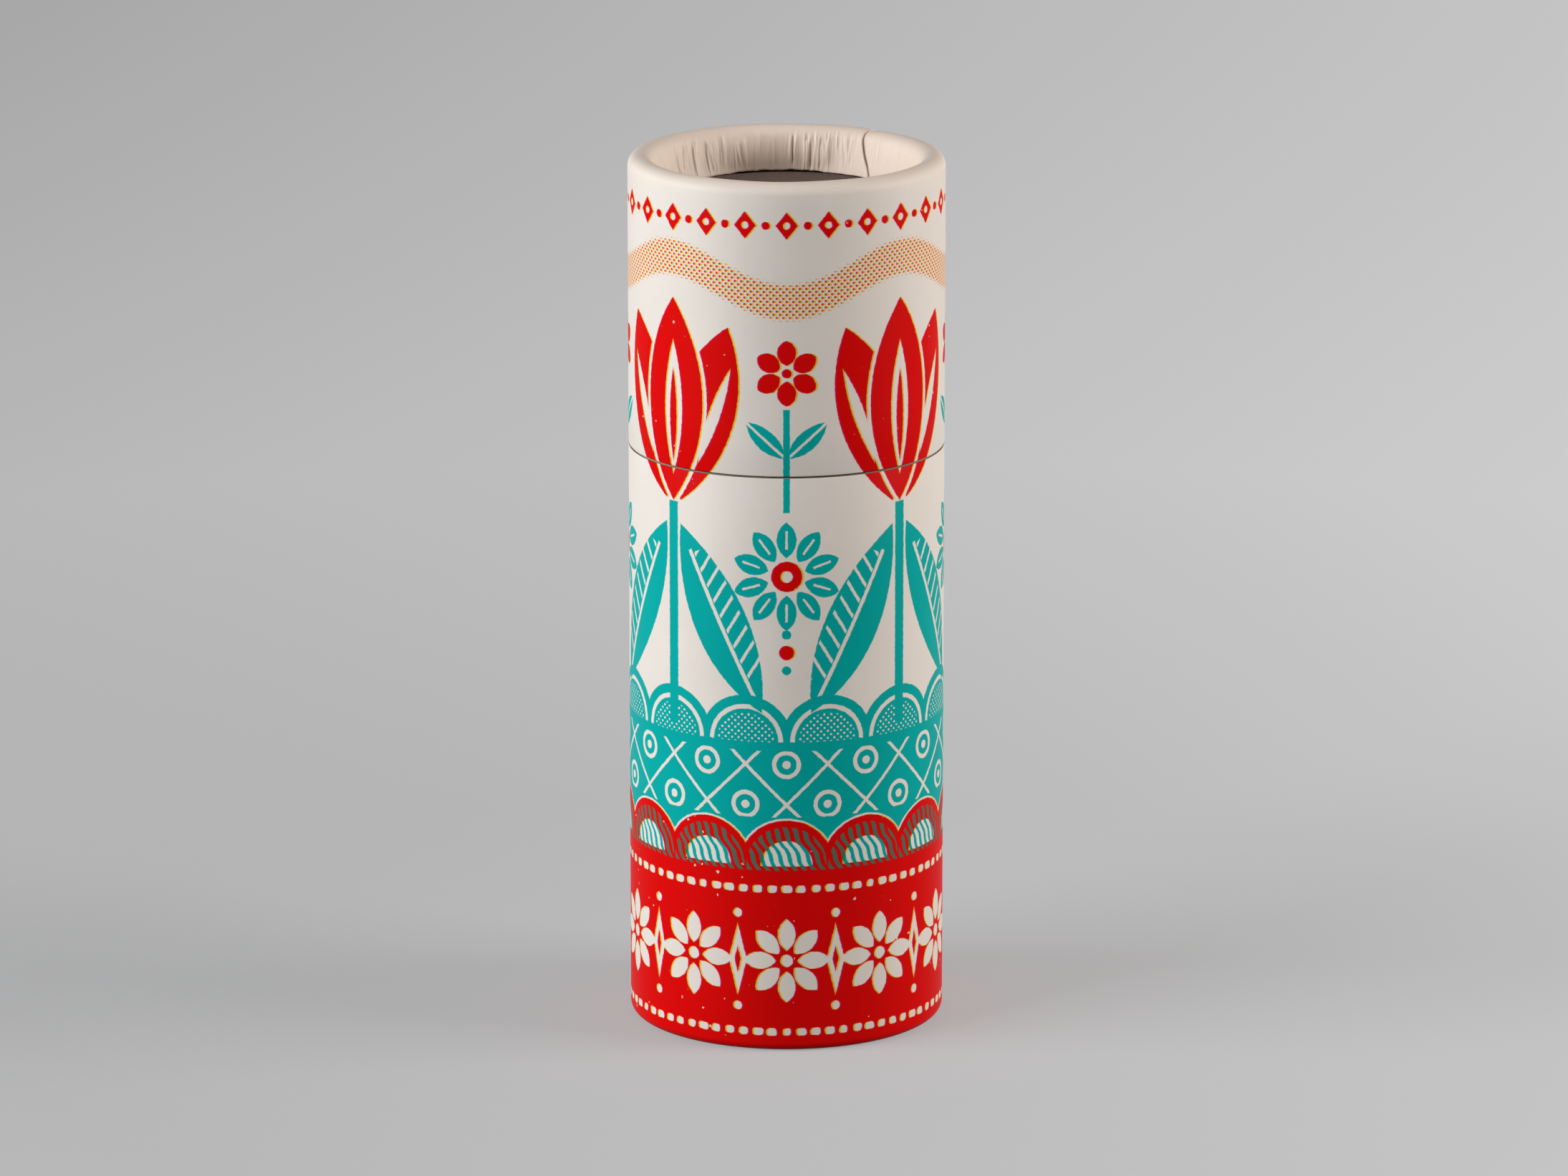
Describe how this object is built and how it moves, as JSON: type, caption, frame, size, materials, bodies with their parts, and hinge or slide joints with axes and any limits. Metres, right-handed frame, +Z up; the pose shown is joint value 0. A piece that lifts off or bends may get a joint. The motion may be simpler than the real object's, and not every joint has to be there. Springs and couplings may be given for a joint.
{
  "type": "match tube",
  "caption": "Upright cylindrical paper match tube with rolled rims: a slip lid with a striking pad sunk in its top lifts off an inner neck, over long wooden matches.",
  "frame": {"origin": "on the tube's axis, at the level of the lower rim that it stands on", "axes": "+Z up along the tube's axis; -Y is the side that the picture shows"},
  "size_m": [0.04, 0.04, 0.112],
  "materials": {
    "lid_paper": "satin printed paper",
    "base_paper": "satin printed paper",
    "grey_board": "matt",
    "white_board": "matt",
    "striking_coat": "gritty matt",
    "aspen_wood": "raw",
    "match_compound": "matt"
  },
  "bodies": {
    "base": {"base_wrap": "base_paper", "base_tube": "grey_board", "base_disc": "white_board", "neck_tube": "white_board"},
    "lid": {"lid_wrap": "lid_paper", "lid_tube": "grey_board", "lid_disc": "white_board", "striker_pad": "striking_coat"},
    "match_01": {"match_stick_01": "aspen_wood", "match_head_01": "match_compound"},
    "match_02": {"match_stick_02": "aspen_wood", "match_head_02": "match_compound"},
    "match_03": {"match_stick_03": "aspen_wood", "match_head_03": "match_compound"},
    "match_04": {"match_stick_04": "aspen_wood", "match_head_04": "match_compound"},
    "match_05": {"match_stick_05": "aspen_wood", "match_head_05": "match_compound"},
    "match_06": {"match_stick_06": "aspen_wood", "match_head_06": "match_compound"},
    "match_07": {"match_stick_07": "aspen_wood", "match_head_07": "match_compound"},
    "match_08": {"match_stick_08": "aspen_wood", "match_head_08": "match_compound"},
    "match_09": {"match_stick_09": "aspen_wood", "match_head_09": "match_compound"},
    "match_10": {"match_stick_10": "aspen_wood", "match_head_10": "match_compound"},
    "match_11": {"match_stick_11": "aspen_wood", "match_head_11": "match_compound"},
    "match_12": {"match_stick_12": "aspen_wood", "match_head_12": "match_compound"},
    "match_13": {"match_stick_13": "aspen_wood", "match_head_13": "match_compound"},
    "match_14": {"match_stick_14": "aspen_wood", "match_head_14": "match_compound"},
    "match_15": {"match_stick_15": "aspen_wood", "match_head_15": "match_compound"},
    "match_16": {"match_stick_16": "aspen_wood", "match_head_16": "match_compound"},
    "match_17": {"match_stick_17": "aspen_wood", "match_head_17": "match_compound"},
    "match_18": {"match_stick_18": "aspen_wood", "match_head_18": "match_compound"},
    "match_19": {"match_stick_19": "aspen_wood", "match_head_19": "match_compound"},
    "match_20": {"match_stick_20": "aspen_wood", "match_head_20": "match_compound"},
    "match_21": {"match_stick_21": "aspen_wood", "match_head_21": "match_compound"},
    "match_22": {"match_stick_22": "aspen_wood", "match_head_22": "match_compound"},
    "match_23": {"match_stick_23": "aspen_wood", "match_head_23": "match_compound"},
    "match_24": {"match_stick_24": "aspen_wood", "match_head_24": "match_compound"},
    "match_25": {"match_stick_25": "aspen_wood", "match_head_25": "match_compound"}
  },
  "joints": [
    {"name": "lid_lift", "type": "slide", "parent": "base", "child": "lid", "axis": [0, 0, 1], "range_m": [0, 0.04]},
    {"name": "match_01_lift", "type": "slide", "parent": "base", "child": "match_01", "axis": [-0.0172, 0.0699, 0.9974], "range_m": [0, 0.0024]},
    {"name": "match_02_lift", "type": "slide", "parent": "base", "child": "match_02", "axis": [-0.0456, 0.0587, 0.9972], "range_m": [0, 0.0024]},
    {"name": "match_03_lift", "type": "slide", "parent": "base", "child": "match_03", "axis": [-0.0673, 0.036, 0.9971], "range_m": [0, 0.0024]},
    {"name": "match_04_lift", "type": "slide", "parent": "base", "child": "match_04", "axis": [-0.0774, 0.0055, 0.997], "range_m": [0, 0.0024]},
    {"name": "match_05_lift", "type": "slide", "parent": "base", "child": "match_05", "axis": [-0.0732, -0.0267, 0.997], "range_m": [0, 0.0024]},
    {"name": "match_06_lift", "type": "slide", "parent": "base", "child": "match_06", "axis": [-0.0554, -0.0537, 0.997], "range_m": [0, 0.0024]},
    {"name": "match_07_lift", "type": "slide", "parent": "base", "child": "match_07", "axis": [-0.0281, -0.0702, 0.9971], "range_m": [0, 0.0024]},
    {"name": "match_08_lift", "type": "slide", "parent": "base", "child": "match_08", "axis": [0.0028, -0.0734, 0.9973], "range_m": [0, 0.0024]},
    {"name": "match_09_lift", "type": "slide", "parent": "base", "child": "match_09", "axis": [0.0314, -0.0638, 0.9975], "range_m": [0, 0.0024]},
    {"name": "match_10_lift", "type": "slide", "parent": "base", "child": "match_10", "axis": [0.0529, -0.0442, 0.9976], "range_m": [0, 0.0024]},
    {"name": "match_11_lift", "type": "slide", "parent": "base", "child": "match_11", "axis": [0.0649, -0.0185, 0.9977], "range_m": [0, 0.0024]},
    {"name": "match_12_lift", "type": "slide", "parent": "base", "child": "match_12", "axis": [0.0663, 0.0093, 0.9978], "range_m": [0, 0.0024]},
    {"name": "match_13_lift", "type": "slide", "parent": "base", "child": "match_13", "axis": [0.0572, 0.0356, 0.9977], "range_m": [0, 0.0024]},
    {"name": "match_14_lift", "type": "slide", "parent": "base", "child": "match_14", "axis": [0.0386, 0.0569, 0.9976], "range_m": [0, 0.0024]},
    {"name": "match_15_lift", "type": "slide", "parent": "base", "child": "match_15", "axis": [0.0125, 0.0698, 0.9975], "range_m": [0, 0.0024]},
    {"name": "match_16_lift", "type": "slide", "parent": "base", "child": "match_16", "axis": [-0.0119, 0.0484, 0.9988], "range_m": [0, 0.0024]},
    {"name": "match_17_lift", "type": "slide", "parent": "base", "child": "match_17", "axis": [-0.0392, 0.0331, 0.9987], "range_m": [0, 0.0024]},
    {"name": "match_18_lift", "type": "slide", "parent": "base", "child": "match_18", "axis": [-0.0523, 0.0037, 0.9986], "range_m": [0, 0.0024]},
    {"name": "match_19_lift", "type": "slide", "parent": "base", "child": "match_19", "axis": [-0.0449, -0.028, 0.9986], "range_m": [0, 0.0024]},
    {"name": "match_20_lift", "type": "slide", "parent": "base", "child": "match_20", "axis": [-0.0197, -0.049, 0.9986], "range_m": [0, 0.0024]},
    {"name": "match_21_lift", "type": "slide", "parent": "base", "child": "match_21", "axis": [0.0127, -0.0504, 0.9986], "range_m": [0, 0.0024]},
    {"name": "match_22_lift", "type": "slide", "parent": "base", "child": "match_22", "axis": [0.0389, -0.0325, 0.9987], "range_m": [0, 0.0024]},
    {"name": "match_23_lift", "type": "slide", "parent": "base", "child": "match_23", "axis": [0.049, -0.0033, 0.9988], "range_m": [0, 0.0024]},
    {"name": "match_24_lift", "type": "slide", "parent": "base", "child": "match_24", "axis": [0.0403, 0.0253, 0.9989], "range_m": [0, 0.0024]},
    {"name": "match_25_lift", "type": "slide", "parent": "base", "child": "match_25", "axis": [0.0173, 0.043, 0.9989], "range_m": [0, 0.0024]}
  ]
}
